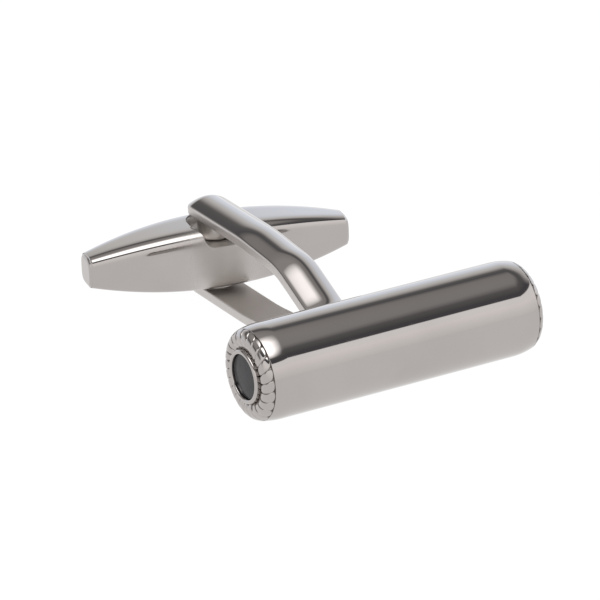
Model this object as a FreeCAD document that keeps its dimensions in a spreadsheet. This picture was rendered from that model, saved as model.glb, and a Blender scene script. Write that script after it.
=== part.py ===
"""Swivel-back cufflink: a mirror-polished bar with a gadrooned cap and a dark
inlay at each end, a two-armed fork brazed to the bar's back, and a torpedo
toggle that turns on a blind pin between the arms' ends.

Frame: +X along the bar, +Y from the bar to the toggle, +Z along the pivot pin.
The origin is the middle of the whole part's footprint, at its lowest level.
"""
import FreeCAD, Part
import math
import os
import re
import Sketcher

doc = FreeCAD.newDocument("Cufflink")

# ------------------------------------------------------------------ sizes, mm
SIZES = {
    # bar
    "bar_length": 20.0,          # over the two bezel rims
    "bar_radius": 3.0,
    "tube_wall": 0.5,
    # gadrooned end caps
    "rope_setback": 0.1,         # the rope-like ring's centre outside the tube's end
    "rope_tuck": 0.1,            # how far the ring's section passes under the bezel
    "bezel_proud": 0.15,         # the bezel's rim past the ring's crest
    "spigot_length": 1.0,
    "lobe_count": 28,
    "lobe_gap": 0.12,
    "lobe_depth": 0.15,
    # bezel cups and inlays
    "bezel_radius": 1.6,
    "bezel_wall": 0.25,
    "bezel_depth": 1.3,
    "bezel_floor": 0.3,
    "inlay_recess": 0.1,
    # fork
    "fork_drop": 0.6,            # middle plane of the fork below the bar's axis
    "fork_shift": 0.6,           # fork's middle to the left of the bar's middle
    "reach": 20.3,               # bar's axis to the pivot
    "arm_width": 2.7,
    "arm_side": 0.75,            # height of the flat side of the half-round strip
    "arm_crown": 0.35,           # crown of the strip above its sides
    "split_y": 6.2,              # where the arms part
    "bend_y": 10.1,
    "bend_z": 1.9,
    "level_y": 14.5,
    "level_z": 2.3,              # inner face of an arm over the toggle
    "split_bend": 3.0,           # bend radii along the inner face
    "knee_bend": 1.6,
    "level_bend": 8.0,
    "boss_radius": 1.1,
    # pivot
    "pin_radius": 0.6,
    "pin_cover": 0.45,           # metal left over each end of the pin
    "pin_clearance": 0.03,
    "boss_clearance": 0.05,
    "notch_radius": 0.45,
    "notch_depth": 0.08,
    # toggle
    "toggle_length": 17.6,
    "toggle_middle": 4.4,        # width and height at the middle
    "toggle_end": 2.0,           # width and height at the ends
    "toggle_round": 0.7,
    "toggle_yaw": -10.0,         # at rest, from square with the fork
    "slot_width": 3.5,
    "slot_round": 0.6,
    "slot_floor": 0.95,          # floor of the slot above the middle plane
    # spring catch inside the toggle
    "ball_radius": 0.4,
    "ball_clearance": 0.03,
    "coil_radius": 0.28,
    "coil_wire": 0.09,
    "coil_pitch": 0.45,
    "coil_turns": 8,
    "coil_gap": 0.05,
}

sheet = doc.addObject("Spreadsheet::Sheet", "Sizes")
for row, (alias, value) in enumerate(SIZES.items(), start=1):
    sheet.set("A%d" % row, alias)
    sheet.set("B%d" % row, str(value))
    sheet.setAlias("B%d" % row, alias)
doc.recompute()


def size(text):
    """Expression in which each of the sheet's names is spelt out in full."""
    return re.sub("[a-z_]+", lambda found: "Sizes." + found[0] if found[0] in SIZES else found[0],
                  text)


def value(text):
    """Number that an expression gives now."""
    return float(sheet.evalExpression(size(text)))


# Derived sizes, all as expressions of the sheet's values.
ROPE_RADIUS = "( ( bar_radius - bezel_radius + rope_tuck ) / 2 )"
ROPE_CENTRE = "( bar_radius - " + ROPE_RADIUS + " )"
CAP_LENGTH = "( rope_setback + " + ROPE_RADIUS + " + bezel_proud )"
TUBE_LENGTH = "( bar_length - 2 * " + CAP_LENGTH + " )"
TUBE_INNER = "bar_radius - tube_wall"
BEZEL_INNER = "bezel_radius - bezel_wall"
HALF_WIDTH = "arm_width / 2"
ARM_THICKNESS = "( arm_side + arm_crown )"
ARM_TOP = "( level_z + arm_side + arm_crown )"
UPPER_BOSS = "( slot_floor + boss_clearance )"
LOWER_BOSS = "( toggle_middle / 2 + boss_clearance )"
PIN_HALF = "( level_z + arm_side + arm_crown - pin_cover )"
HALF_TOGGLE = "toggle_length / 2"
HALF_MIDDLE = "toggle_middle / 2"
HALF_END = "toggle_end / 2"
BULGE = "( ( toggle_middle - toggle_end ) / 2 )"
TOGGLE_ARC = ("( " + BULGE + " * " + BULGE + " + toggle_length * toggle_length / 4 )"
              " / ( 2 * " + BULGE + " )")
BALL_X = "( pin_radius + ball_clearance + ball_radius )"
BORE_RADIUS = "( ball_radius + ball_clearance )"
COIL_START = "( " + BALL_X + " + ball_radius + coil_gap + coil_wire )"
COIL_LENGTH = "( coil_pitch * coil_turns )"
PLUG_START = "( " + COIL_START + " + " + COIL_LENGTH + " + coil_wire + coil_gap )"
BACK = ("( toggle_length / 2 * sin(-1 deg * toggle_yaw) "
        "+ toggle_end / 2 * cos(1 deg * toggle_yaw) )")
BAR_Y = "( bar_radius / 2 - reach / 2 - " + BACK + " / 2 )"
FORK_Z = ARM_TOP
BAR_Z = "( " + ARM_TOP + " + fork_drop )"
PIVOT_Y = "( " + BAR_Y + " + reach )"


# ------------------------------------------------------------ sketch helpers
def plane(body, role):
    """Origin plane of a body, by its role."""
    return next(item for item in body.Origin.OriginFeatures if item.Role == role)


def new_body(label):
    body = doc.addObject("PartDesign::Body", label)
    body.Label = label
    return body


def new_sketch(body, role, name, height=None):
    """Sketch on an origin plane, raised along its normal by an expression."""
    sketch = body.newObject("Sketcher::SketchObject", name)
    sketch.AttachmentSupport = [(plane(body, role), "")]
    sketch.MapMode = "FlatFace"
    if height is not None:
        sketch.setExpression("AttachmentOffset.Base.z", size(height))
    return sketch


def bind(sketch, constraint, text):
    """Add a dimension and tie it to the sheet."""
    index = sketch.addConstraint(constraint)
    sketch.setExpression("Constraints[%d]" % index, size(text))


def fix_point(sketch, geometry, position, across, upward):
    """Put a point at (across, upward), each an expression or 0."""
    for text, kind, axis in ((across, "DistanceX", -2), (upward, "DistanceY", -1)):
        if text == 0:
            sketch.addConstraint(Sketcher.Constraint("PointOnObject", geometry, position, axis))
        else:
            bind(sketch, Sketcher.Constraint(kind, geometry, position, value(text)), text)


def number(text):
    return 0.0 if text == 0 else value(text)


def vector(corner):
    return FreeCAD.Vector(number(corner[0]), number(corner[1]), 0)


def arc_centre(low, high, radius):
    """Centre of the minor arc that runs anticlockwise from low to high."""
    chord = high - low
    left = FreeCAD.Vector(-chord.y, chord.x, 0).normalize()
    height = math.sqrt(max(radius * radius - chord.Length * chord.Length / 4, 0))
    return (low + high) * 0.5 + left * height


def flat_arc(centre, radius, low, high):
    """Arc about centre, anticlockwise from low to high."""
    whole = Part.Circle(centre, FreeCAD.Vector(0, 0, 1), radius)
    first, last = whole.parameter(low), whole.parameter(high)
    if last < first:
        last += 2 * math.pi
    return Part.ArcOfCircle(whole, first, last)


def outline(sketch, corners, arcs=()):
    """Closed outline through corners. arcs maps the index of a side to its
    radius expression and the side it bulges to, left or right of its way."""
    arcs = dict(arcs)
    points = [vector(corner) for corner in corners]
    count = len(points)
    ends = []
    for side in range(count):
        start, end = points[side], points[(side + 1) % count]
        if side in arcs:
            radius, bulge = arcs[side]
            forward = bulge == "right"
            low, high = (start, end) if forward else (end, start)
            centre = arc_centre(low, high, value(radius))
            index = sketch.addGeometry(flat_arc(centre, value(radius), low, high), False)
            ends.append((index, 1, 2) if forward else (index, 2, 1))
        else:
            index = sketch.addGeometry(Part.LineSegment(start, end), False)
            ends.append((index, 1, 2))
    for side in range(count):
        geometry, _, last = ends[side]
        following, first, _ = ends[(side + 1) % count]
        sketch.addConstraint(Sketcher.Constraint("Coincident", geometry, last, following, first))
    for side in range(count):
        geometry, first, _ = ends[side]
        fix_point(sketch, geometry, first, *corners[side])
    for side, (radius, _) in arcs.items():
        bind(sketch, Sketcher.Constraint("Radius", ends[side][0], value(radius)), radius)
    return sketch


def circle(sketch, across, upward, radius):
    index = sketch.addGeometry(
        Part.Circle(vector((across, upward)), FreeCAD.Vector(0, 0, 1), value(radius)), False)
    fix_point(sketch, index, 3, across, upward)
    bind(sketch, Sketcher.Constraint("Radius", index, value(radius)), radius)
    return index


def smooth_path(sketch, corners, radii):
    """Open path: straight runs through corners, joined by tangent arcs."""
    points = [vector(corner) for corner in corners]
    runs = []
    arcs = []
    start = points[0]
    for place in range(1, len(points) - 1):
        before, here, after = points[place - 1], points[place], points[place + 1]
        incoming = (here - before).normalize()
        outgoing = (after - here).normalize()
        turn = incoming.getAngle(outgoing)
        radius = value(radii[place - 1])
        trim = radius * math.tan(turn / 2)
        first = here - incoming * trim
        last = here + outgoing * trim
        leftward = incoming.cross(outgoing).z > 0
        normal = FreeCAD.Vector(-incoming.y, incoming.x, 0) * (1 if leftward else -1)
        centre = first + normal * radius
        low, high = (first, last) if leftward else (last, first)
        runs.append(sketch.addGeometry(Part.LineSegment(start, first), False))
        bend = flat_arc(centre, radius, low, high)
        arcs.append((sketch.addGeometry(bend, False), leftward))
        start = last
    runs.append(sketch.addGeometry(Part.LineSegment(start, points[-1]), False))
    for place, (arc, leftward) in enumerate(arcs):
        enters, leaves = (1, 2) if leftward else (2, 1)
        sketch.addConstraint(Sketcher.Constraint("Tangent", runs[place], 2, arc, enters))
        sketch.addConstraint(Sketcher.Constraint("Tangent", arc, leaves, runs[place + 1], 1))
        bind(sketch, Sketcher.Constraint("Radius", arc, value(radii[place])), radii[place])
        mark = sketch.addGeometry(Part.Point(points[place + 1]), True)
        sketch.addConstraint(Sketcher.Constraint("PointOnObject", mark, 1, runs[place]))
        sketch.addConstraint(Sketcher.Constraint("PointOnObject", mark, 1, runs[place + 1]))
        fix_point(sketch, mark, 1, *corners[place + 1])
    fix_point(sketch, runs[0], 1, *corners[0])
    fix_point(sketch, runs[-1], 2, *corners[-1])
    return ["Edge%d" % (index + 1) for index in range(len(runs) + len(arcs))]


# ----------------------------------------------------------- feature helpers
def revolve(body, sketch, name, axis="H_Axis"):
    feature = body.newObject("PartDesign::Revolution", name)
    feature.Profile = sketch
    feature.ReferenceAxis = (sketch, [axis])
    feature.Angle = 360.0
    return feature


def pad(body, sketch, name, length, both_ways=False):
    feature = body.newObject("PartDesign::Pad", name)
    feature.Profile = sketch
    feature.setExpression("Length", size(length))
    feature.SideType = "Symmetric" if both_ways else "One side"
    return feature


def cut_through(body, sketch, name):
    """Pocket both ways through everything, checked to remove material."""
    doc.recompute()
    before = body.Shape.Volume
    feature = body.newObject("PartDesign::Pocket", name)
    feature.Profile = sketch
    feature.Type = "ThroughAll"
    feature.SideType = "Symmetric"
    doc.recompute()
    assert body.Shape.Volume < before, name + " removes nothing"
    return feature


def cut_blind(body, sketch, name, depth, reverse):
    """Pocket of a stated depth, checked to remove material."""
    doc.recompute()
    before = body.Shape.Volume
    feature = body.newObject("PartDesign::Pocket", name)
    feature.Profile = sketch
    feature.Type = "Length"
    feature.setExpression("Length", size(depth))
    feature.Reversed = reverse
    doc.recompute()
    assert body.Shape.Volume < before, name + " removes nothing"
    return feature


def place_on_bar(body):
    """Stand a piece on the bar's axis."""
    body.setExpression("Placement.Base.y", size(BAR_Y))
    body.setExpression("Placement.Base.z", size(BAR_Z))


def place_on_end(body, end):
    """Stand a piece at the tube's left (-1) or right (1) end, facing outward."""
    turned = FreeCAD.Rotation(FreeCAD.Vector(0, 0, 1), 180 if end < 0 else 0)
    body.Placement = FreeCAD.Placement(FreeCAD.Vector(), turned)
    body.setExpression("Placement.Base.x", size("%d * %s / 2" % (end, TUBE_LENGTH)))
    place_on_bar(body)


def place_on_pivot(body, turns_with_toggle):
    """Stand a piece on the pivot, turned to the toggle's rest where it turns."""
    axis = FreeCAD.Vector(0, 0, 1)
    body.Placement = FreeCAD.Placement(FreeCAD.Vector(), FreeCAD.Rotation(axis, 1))
    body.setExpression("Placement.Base.x", size("-1 * fork_shift"))
    body.setExpression("Placement.Base.y", size(PIVOT_Y))
    body.setExpression("Placement.Base.z", size(FORK_Z))
    body.setExpression("Placement.Rotation.Angle",
                       size("toggle_yaw * 1 deg" if turns_with_toggle else "0 deg"))


# ---------------------------------------------------------------- sub-parts
def bar_tube():
    """Drawn tube, open at both ends."""
    body = new_body("bar_tube")
    sketch = new_sketch(body, "XZ_Plane", "tube_profile")
    half = TUBE_LENGTH + " / 2"
    less = "-1 * " + half
    outline(sketch, [(less, TUBE_INNER), (half, TUBE_INNER),
                     (half, "bar_radius"), (less, "bar_radius")])
    revolve(body, sketch, "tube")
    place_on_bar(body)
    return body


def end_cap(label, end):
    """Cap with a rope-like ring of lobes; a spigot enters the tube and a blind
    seat takes the bezel cup. Local +X faces outward, x = 0 at the tube's end."""
    body = new_body(label)
    sketch = new_sketch(body, "XZ_Plane", label + "_profile")
    seat = CAP_LENGTH + " - bezel_depth"
    crest = "rope_setback + " + ROPE_RADIUS
    inner_x = "rope_setback + sqrt(rope_tuck * ( 2 * " + ROPE_RADIUS + " - rope_tuck ))"
    outline(sketch,
            [("-1 * spigot_length", 0), ("-1 * spigot_length", TUBE_INNER), (0, TUBE_INNER),
             (0, "bar_radius"), ("rope_setback", "bar_radius"), (crest, ROPE_CENTRE),
             (inner_x, "bezel_radius"), (seat, "bezel_radius"), (seat, 0)],
            {4: (ROPE_RADIUS, "left"), 5: (ROPE_RADIUS, "left")})
    revolve(body, sketch, label + "_turned")
    groove = new_sketch(body, "XZ_Plane", label + "_lobe_gap")
    outer = "( " + ROPE_RADIUS + " + lobe_depth )"
    inner = "( " + ROPE_RADIUS + " - lobe_depth )"
    outline(groove,
            [("rope_setback", ROPE_CENTRE + " + " + inner),
             ("rope_setback", ROPE_CENTRE + " + " + outer),
             ("rope_setback + " + outer, ROPE_CENTRE), ("rope_setback + " + inner, ROPE_CENTRE)],
            {1: (outer, "left"), 3: (inner, "right")})
    doc.recompute()
    before = body.Shape.Volume
    notch = body.newObject("PartDesign::Pocket", label + "_notch")
    notch.Profile = groove
    notch.SideType = "Symmetric"
    notch.setExpression("Length", size("lobe_gap"))
    doc.recompute()
    assert body.Shape.Volume < before, label + " notch removes nothing"
    pattern = body.newObject("PartDesign::PolarPattern", label + "_lobes")
    pattern.Originals = [notch]
    pattern.Axis = (plane(body, "X_Axis"), [""])
    pattern.Angle = 360
    pattern.setExpression("Occurrences", size("lobe_count"))
    body.Tip = pattern
    place_on_end(body, end)
    return body


def bezel(label, end):
    """Cup whose rim stands proud of the ring and holds the inlay."""
    body = new_body(label)
    sketch = new_sketch(body, "XZ_Plane", label + "_profile")
    bottom = CAP_LENGTH + " - bezel_depth"
    floor = bottom + " + bezel_floor"
    outline(sketch, [(bottom, 0), (bottom, "bezel_radius"), (CAP_LENGTH, "bezel_radius"),
                     (CAP_LENGTH, BEZEL_INNER), (floor, BEZEL_INNER), (floor, 0)])
    revolve(body, sketch, label + "_turned")
    place_on_end(body, end)
    return body


def inlay(label, end):
    """Dark disc that fills the bezel cup to just below its rim."""
    body = new_body(label)
    sketch = new_sketch(body, "XZ_Plane", label + "_profile")
    floor = CAP_LENGTH + " - bezel_depth + bezel_floor"
    face = CAP_LENGTH + " - inlay_recess"
    outline(sketch, [(floor, 0), (floor, BEZEL_INNER), (face, BEZEL_INNER), (face, 0)])
    revolve(body, sketch, label + "_turned")
    place_on_end(body, end)
    return body


def fork_arm(label, side):
    """Half-round strip, flat side inward: level beside its twin near the bar,
    then out and over the toggle to a rounded end with a boss and a blind bore.
    Local y = 0 on the bar's axis and z = 0 on the fork's middle plane."""
    boss_bottom = UPPER_BOSS if side > 0 else LOWER_BOSS
    body = new_body(label)
    section = new_sketch(body, "XZ_Plane", label + "_section")
    crown = "( arm_width * arm_width / 4 + arm_crown * arm_crown ) / ( 2 * arm_crown )"
    less = "-1 * arm_width / 2"
    outline(section, [(less, 0), (HALF_WIDTH, 0), (HALF_WIDTH, "arm_side"), (less, "arm_side")],
            {2: (crown, "right")})
    route = new_sketch(body, "YZ_Plane", label + "_route")
    finish = "reach + arm_width"
    edges = smooth_path(route, [(0, 0), ("split_y", 0), ("bend_y", "bend_z"),
                                ("level_y", "level_z"), (finish, "level_z")],
                        ["split_bend", "knee_bend", "level_bend"])
    doc.recompute()
    sweep = body.newObject("PartDesign::AdditivePipe", label + "_strip")
    sweep.Profile = section
    sweep.Spine = (route, edges)
    doc.recompute()
    tip = new_sketch(body, "XY_Plane", label + "_round_end")
    far = "reach + 2 * arm_width"
    outline(tip, [(less, "reach"), (0, "reach + arm_width / 2"), (HALF_WIDTH, "reach"),
                  ("arm_width", "reach"), ("arm_width", far), ("-1 * arm_width", far),
                  ("-1 * arm_width", "reach")],
            {0: (HALF_WIDTH, "left"), 1: (HALF_WIDTH, "left")})
    cut_through(body, tip, label + "_end")
    cope = new_sketch(body, "YZ_Plane", label + "_cope")
    circle(cope, 0, "fork_drop" if side > 0 else "-1 * fork_drop", "bar_radius")
    cut_through(body, cope, label + "_seat")
    boss = new_sketch(body, "XY_Plane", label + "_boss", boss_bottom)
    circle(boss, 0, "reach", "boss_radius")
    pad(body, boss, label + "_boss_pad", "level_z + arm_side / 2 - " + boss_bottom)
    bore = new_sketch(body, "XY_Plane", label + "_bore", boss_bottom)
    circle(bore, 0, "reach", "pin_radius")
    cut_blind(body, bore, label + "_bore_cut", PIN_HALF + " - " + boss_bottom, True)
    body.Placement = FreeCAD.Placement(
        FreeCAD.Vector(), FreeCAD.Rotation(FreeCAD.Vector(0, 1, 0), 0 if side > 0 else 180))
    body.setExpression("Placement.Base.x", size("-1 * fork_shift"))
    body.setExpression("Placement.Base.y", size(BAR_Y))
    body.setExpression("Placement.Base.z", size(FORK_Z))
    return body


def pivot_pin():
    """Blind pin, pressed into both arms; four shallow flutes catch the ball."""
    body = new_body("pivot_pin")
    round_bar = new_sketch(body, "XY_Plane", "pin_circle")
    circle(round_bar, 0, 0, "pin_radius")
    pad(body, round_bar, "pin_length", "2 * " + PIN_HALF, True)
    flute = new_sketch(body, "XY_Plane", "pin_flute")
    circle(flute, "pin_radius + notch_radius - notch_depth", 0, "notch_radius")
    doc.recompute()
    before = body.Shape.Volume
    notch = body.newObject("PartDesign::Pocket", "pin_notch")
    notch.Profile = flute
    notch.SideType = "Symmetric"
    notch.setExpression("Length", size("2 * ball_radius"))
    doc.recompute()
    assert body.Shape.Volume < before, "pin notch removes nothing"
    pattern = body.newObject("PartDesign::PolarPattern", "pin_notches")
    pattern.Originals = [notch]
    pattern.Axis = (plane(body, "Z_Axis"), [""])
    pattern.Angle = 360
    pattern.Occurrences = 4
    body.Tip = pattern
    place_on_pivot(body, False)
    return body


def toggle_body():
    """Torpedo of rounded-square section, tapering both ways from the middle,
    with a slot across its top for the upper arm's boss, a bore for the pin and
    a bore along it for the catch."""
    body = new_body("toggle_body")
    less = "-1 * toggle_length / 2"
    low = "-1 * toggle_end / 2"
    plan = new_sketch(body, "XY_Plane", "toggle_plan")
    outline(plan, [(less, low), (HALF_TOGGLE, low), (HALF_TOGGLE, HALF_END), (less, HALF_END)],
            {0: (TOGGLE_ARC, "right"), 2: (TOGGLE_ARC, "right")})
    pad(body, plan, "toggle_blank", "toggle_middle", True)
    side = new_sketch(body, "XZ_Plane", "toggle_side")
    outline(side, [(less, HALF_END), (HALF_TOGGLE, HALF_END), (HALF_TOGGLE, "toggle_middle"),
                   (less, "toggle_middle")], {0: (TOGGLE_ARC, "left")})
    outline_below = new_sketch(body, "XZ_Plane", "toggle_underside")
    outline(outline_below, [(less, low), (HALF_TOGGLE, low),
                            (HALF_TOGGLE, "-1 * toggle_middle"), (less, "-1 * toggle_middle")],
            {0: (TOGGLE_ARC, "right")})
    cut_through(body, side, "toggle_top_taper")
    taper = cut_through(body, outline_below, "toggle_bottom_taper")
    long_edges = [
        "Edge%d" % (index + 1) for index, edge in enumerate(taper.Shape.Edges)
        if edge.BoundBox.XLength > value("toggle_length") * 0.4]
    rounded = body.newObject("PartDesign::Fillet", "toggle_rounded")
    rounded.Base = (taper, long_edges)
    rounded.setExpression("Radius", size("toggle_round"))
    doc.recompute()
    slot = new_sketch(body, "XZ_Plane", "boss_slot")
    corner = "slot_floor + slot_round"
    outline(slot,
            [("slot_round - slot_width / 2", "slot_floor"),
             ("slot_width / 2 - slot_round", "slot_floor"), ("slot_width / 2", corner),
             ("slot_width / 2", "toggle_middle"), ("-1 * slot_width / 2", "toggle_middle"),
             ("-1 * slot_width / 2", corner)],
            {1: ("slot_round", "right"), 5: ("slot_round", "right")})
    cut_through(body, slot, "boss_slot_cut")
    bore = new_sketch(body, "XY_Plane", "pin_bore")
    circle(bore, 0, 0, "pin_radius + pin_clearance")
    cut_through(body, bore, "pin_bore_cut")
    channel = new_sketch(body, "YZ_Plane", "catch_bore")
    circle(channel, 0, 0, BORE_RADIUS)
    cut_blind(body, channel, "catch_bore_cut", HALF_TOGGLE, True)
    place_on_pivot(body, True)
    return body


def detent_ball():
    """Catch ball, just clear of the pin between two of its flutes."""
    body = new_body("detent_ball")
    sketch = new_sketch(body, "XZ_Plane", "ball_profile")
    near = BALL_X + " - ball_radius"
    far = BALL_X + " + ball_radius"
    outline(sketch, [(near, 0), (BALL_X, "ball_radius"), (far, 0)],
            {0: ("ball_radius", "left"), 1: ("ball_radius", "left")})
    revolve(body, sketch, "ball")
    place_on_pivot(body, True)
    return body


def detent_spring():
    """Compression spring between the ball and the plug."""
    body = new_body("detent_spring")
    sketch = new_sketch(body, "XZ_Plane", "wire_section")
    circle(sketch, COIL_START, "coil_radius", "coil_wire")
    helix = body.newObject("PartDesign::AdditiveHelix", "coil")
    helix.Profile = sketch
    helix.ReferenceAxis = (sketch, ["H_Axis"])
    helix.Mode = "pitch-turns-angle"
    helix.setExpression("Pitch", size("coil_pitch"))
    helix.setExpression("Turns", size("coil_turns"))
    place_on_pivot(body, True)
    return body


def toggle_plug():
    """Plug that closes the catch bore, flush with the toggle's end."""
    body = new_body("toggle_plug")
    sketch = new_sketch(body, "YZ_Plane", "plug_circle", PLUG_START)
    circle(sketch, 0, 0, BORE_RADIUS)
    pad(body, sketch, "plug_length", "toggle_length / 2 - " + PLUG_START)
    place_on_pivot(body, True)
    return body


pieces = [bar_tube()]
for hand, end in (("left", -1), ("right", 1)):
    pieces.append(end_cap(hand + "_end_cap", end))
    pieces.append(bezel(hand + "_bezel", end))
    pieces.append(inlay(hand + "_inlay", end))
pieces.append(fork_arm("upper_arm", 1))
pieces.append(fork_arm("lower_arm", -1))
pieces += [pivot_pin(), toggle_body(), detent_ball(), detent_spring(), toggle_plug()]
doc.recompute()

# ------------------------------------------------------------ check and write
for item in doc.Objects:
    bad = [state for state in item.State if state in ("Invalid", "Error")]
    assert not bad, "%s is %s" % (item.Label, bad)
for piece in pieces:
    shape = piece.Shape
    assert not shape.isNull() and shape.isValid(), piece.Label + " has no valid shape"
    assert len(shape.Solids) == 1, piece.Label + " is not one solid"

os.makedirs("parts", exist_ok=True)
for piece in pieces:
    piece.Shape.exportStep(os.path.join("parts", piece.Label + ".step"))
    box = piece.Shape.BoundBox
    print("%-15s volume %8.3f mm3  x %7.2f %7.2f  y %7.2f %7.2f  z %6.2f %6.2f"
          % (piece.Label, piece.Shape.Volume, box.XMin, box.XMax, box.YMin, box.YMax,
             box.ZMin, box.ZMax))
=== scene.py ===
"""Swivel-back cufflink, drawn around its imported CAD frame.

Each piece is a surface worked out with numpy. Its place and its main sizes
come from the frame. Settings keep lengths in metres; the functions below work
in millimetres until a mesh is made.
"""

import math
from types import SimpleNamespace

import bmesh
import bpy
import numpy as np
from bpy.props import FloatProperty, FloatVectorProperty, IntProperty, PointerProperty
from mathutils import Matrix, Vector


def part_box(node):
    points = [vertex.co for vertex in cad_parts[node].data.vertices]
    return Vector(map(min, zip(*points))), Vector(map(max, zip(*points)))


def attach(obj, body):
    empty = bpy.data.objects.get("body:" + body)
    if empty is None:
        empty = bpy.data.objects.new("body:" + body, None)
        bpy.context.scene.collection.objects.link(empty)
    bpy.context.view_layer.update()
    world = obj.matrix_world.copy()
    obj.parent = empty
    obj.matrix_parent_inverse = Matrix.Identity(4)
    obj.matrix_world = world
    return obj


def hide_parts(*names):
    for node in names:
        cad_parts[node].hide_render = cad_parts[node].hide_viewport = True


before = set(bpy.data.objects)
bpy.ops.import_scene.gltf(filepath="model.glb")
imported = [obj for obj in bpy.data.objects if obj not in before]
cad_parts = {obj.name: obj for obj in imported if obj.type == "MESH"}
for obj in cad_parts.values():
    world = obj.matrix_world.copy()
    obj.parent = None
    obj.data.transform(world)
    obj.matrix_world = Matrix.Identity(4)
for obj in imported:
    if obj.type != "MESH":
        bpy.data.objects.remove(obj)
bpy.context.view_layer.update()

bl_info = {
    "name": "Swivel cufflink",
    "version": (1, 0, 0),
    "blender": (4, 5, 0),
    "location": "3D View > Sidebar > Cufflink",
    "description": "Mirror-polished swivel-back cufflink around its CAD frame",
    "category": "Add Mesh",
}

MM = 0.001
MATERIAL_NAMES = {
    "plate": "polished_plating",
    "rope": "gadrooned_plating",
    "fork": "fork_plating",
    "stone": "dark_inlay",
    "steel": "catch_steel",
    "floor": "light_table",
}


# Frame sizes
def corners(node):
    """Lowest and highest corner of a CAD node, in millimetres."""
    low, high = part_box(node)
    return np.array(low) / MM, np.array(high) / MM


TUBE_LOW, TUBE_HIGH = corners("bar_tube")
CAP_HIGH = corners("right_end_cap")[1]
RIM_HIGH = corners("right_bezel")[1]
STONE_HIGH = corners("right_inlay")[1]
PIN_LOW, PIN_HIGH = corners("pivot_pin")
ARM_LOW, ARM_HIGH = corners("upper_arm")
PLUG_LOW, PLUG_HIGH = corners("toggle_plug")
BAR_CENTRE = (TUBE_LOW + TUBE_HIGH) / 2
PIVOT = (PIN_LOW + PIN_HIGH) / 2
PLUG_ARM = (PLUG_LOW + PLUG_HIGH) / 2 - PIVOT
REST_YAW = math.atan2(PLUG_ARM[1], PLUG_ARM[0])
REACH = PIVOT[1] - BAR_CENTRE[1]


def length(name, description, default):
    """Property that holds a length; the default is given in millimetres."""
    return FloatProperty(name=name, description=description, default=float(default) * MM,
                         precision=6, subtype="DISTANCE", unit="LENGTH")


def number(name, description, default, **options):
    """Property that holds a plain number."""
    return FloatProperty(name=name, description=description, default=default, **options)


def rotation(name, description, degrees):
    """Property that holds an angle; the default is given in degrees."""
    return FloatProperty(name=name, description=description, default=math.radians(degrees),
                         subtype="ANGLE", unit="ROTATION")


def colour(name, description, default):
    """Property that holds a colour."""
    return FloatVectorProperty(name=name, description=description, default=default, size=3,
                               subtype="COLOR", min=0.0, max=1.0)


# Settings
class BarSettings(bpy.types.PropertyGroup):
    """Sizes of the bar, its gadrooned rings, collars and inlays."""
    radius: length("Radius", "Outer radius of the bar", TUBE_HIGH[2] - BAR_CENTRE[2])
    half: length("Half length", "From the middle to the tube's end", TUBE_HIGH[0])
    rolloff: length("Roll-off", "Length over which polishing rounds the bar's end", 1.1)
    drop: length("Drop", "How much the radius falls over the roll-off", 0.13)
    lip: length("Lip", "Where the bar ends at the ring past the tube's end", 0.27)
    crest: length("Crest", "Furthest point of the ring from the bar's middle", CAP_HIGH[0])
    ring: length("Ring", "Radius of the ring's own section", 0.7)
    lobes: IntProperty(name="Lobes", description="Lobes round each ring", default=24, min=3)
    lobe_depth: length("Lobe depth", "Depth of the crevices between lobes", 0.13)
    lobe_twist: number("Lobe twist", "Turn of a lobe across the ring, in lobes", 0.9)
    collar: length("Collar radius", "Outer radius of the collar",
                   RIM_HIGH[2] - BAR_CENTRE[2] + 0.09)
    rim: length("Rim", "Rim of the collar from the bar's middle", RIM_HIGH[0])
    stone: length("Inlay radius", "Radius of the inlay",
                  STONE_HIGH[2] - BAR_CENTRE[2] + 0.06)
    stone_face: length("Inlay face", "Face of the inlay from the bar's middle", STONE_HIGH[0] - 0.06)


class ForkSettings(bpy.types.PropertyGroup):
    """Sizes of the two arms, from the bar's axis and the fork's middle plane."""
    half_width: length("Half width", "Half width of an arm", (ARM_HIGH[0] - ARM_LOW[0]) / 2)
    side: length("Side", "Height of the flat side", 0.62)
    crown: length("Crown", "Crown above the flat side", 0.48)
    edge: length("Edge", "Rounding of the long edges", 0.1)
    root: length("Root", "Where the arms start, inside the bar", 2.3)
    split: length("Split", "Where the arms part", 6.2)
    bend: length("Bend", "Where an arm turns over the toggle", 10.1)
    bend_height: length("Bend height", "Inner face at the bend", 1.9)
    level: length("Level", "Where an arm runs level", 14.5)
    level_height: length("Level height", "Inner face over the toggle",
                         ARM_HIGH[2] - PIVOT[2] - 1.1)
    softness: length("Softness", "Length over which each bend is spread", 1.5)
    overhang: length("Overhang", "Centre of an arm's round end past the pivot", 0.7)
    shoulder: length("Shoulder", "Rounding between crown and side", 0.28)
    nose: length("Nose", "Length over which an arm's end is domed", 1.35)
    boss: length("Boss", "Radius of the boss under each arm's end", 1.1)
    flare: length("Flare", "Widening of the boss where it joins the arm", 0.22)
    clearance: length("Clearance", "Gap between a boss and the toggle", 0.05)


class ToggleSettings(bpy.types.PropertyGroup):
    """Sizes of the torpedo-shaped toggle."""
    half: length("Half length", "Pivot to either end", 8.8)
    middle: length("Half middle", "Half height at the pivot", 2.1)
    end: length("Half end", "Half height at the ends", 0.99)
    square: number("Squareness", "Exponent of the rounded-square section", 5.5)
    ease: number("Ease", "How much the squareness eases toward the ends", 1.9)
    taper: number("Taper", "Exponent of the taper along the toggle", 2.1)
    pocket: length("Pocket", "Half width of the pocket under the upper arm", 1.75)
    floor: length("Pocket floor", "Pocket floor from the middle plane", 0.95)
    lip: length("Lip", "Rounding of the pocket's lip", 0.2)
    # Partly a satin front that buffing can't reach, partly painted light: the lighter colour there
    # covers the dark reflection of the arms.
    lightened_front: length("Veil", "Half width of the front that buffing can't reach", 1.7)
    chamfer: length("End rounding", "Rounding of the end faces' edges", 0.2)


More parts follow.
